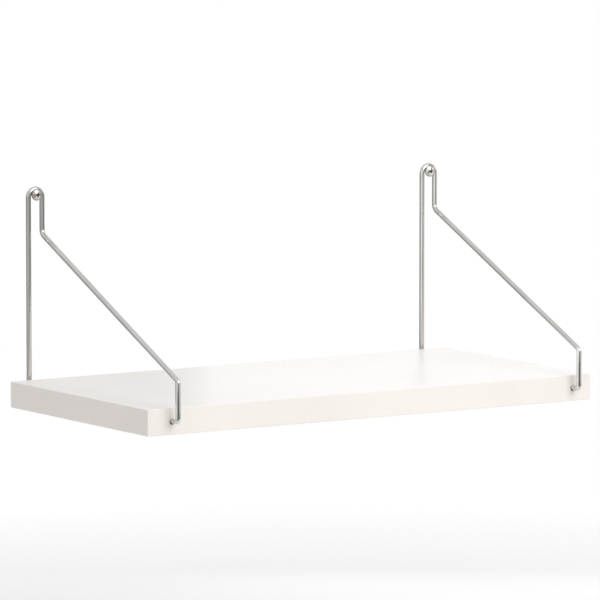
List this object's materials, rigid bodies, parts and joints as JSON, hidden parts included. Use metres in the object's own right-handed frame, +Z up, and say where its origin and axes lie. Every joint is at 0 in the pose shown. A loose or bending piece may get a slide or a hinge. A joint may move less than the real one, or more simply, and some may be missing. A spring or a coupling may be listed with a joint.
{
  "type": "wall shelf with brackets",
  "caption": "White rectangular wall shelf board hung by bent round steel rod brackets that hook into its front and back edges and loop over wall screws.",
  "frame": {"origin": "on the wall's surface, midway between the two wall screws and level with them", "axes": "+X along the board, to the right as seen from the room; +Y into the wall; +Z up"},
  "size_m": [0.6, 0.3449, 0.251],
  "materials": {
    "core": "particle board",
    "laminate": "white melamine, satin",
    "edge_band": "white edging, satin",
    "rod": "polished stainless steel",
    "screw": "bright plated steel"
  },
  "bodies": {
    "board": {"board_core": "core", "top_laminate": "laminate", "bottom_laminate": "laminate", "front_edge_band": "edge_band", "back_edge_band": "edge_band", "left_edge_band": "edge_band", "right_edge_band": "edge_band"},
    "left_bracket": {"left_bracket": "rod", "left_wall_screw": "screw"},
    "right_bracket": {"right_bracket": "rod", "right_wall_screw": "screw"}
  },
  "joints": [
    {"name": "left_bracket_swing", "type": "hinge", "parent": "board", "child": "left_bracket", "pos_m": [-0.2805, -0.165, -0.2265], "axis": [0, 1, 0], "range_deg": [-248, 68]},
    {"name": "right_bracket_swing", "type": "hinge", "parent": "board", "child": "right_bracket", "pos_m": [0.2625, -0.165, -0.2265], "axis": [0, 1, 0], "range_deg": [-69, 246.5]}
  ]
}
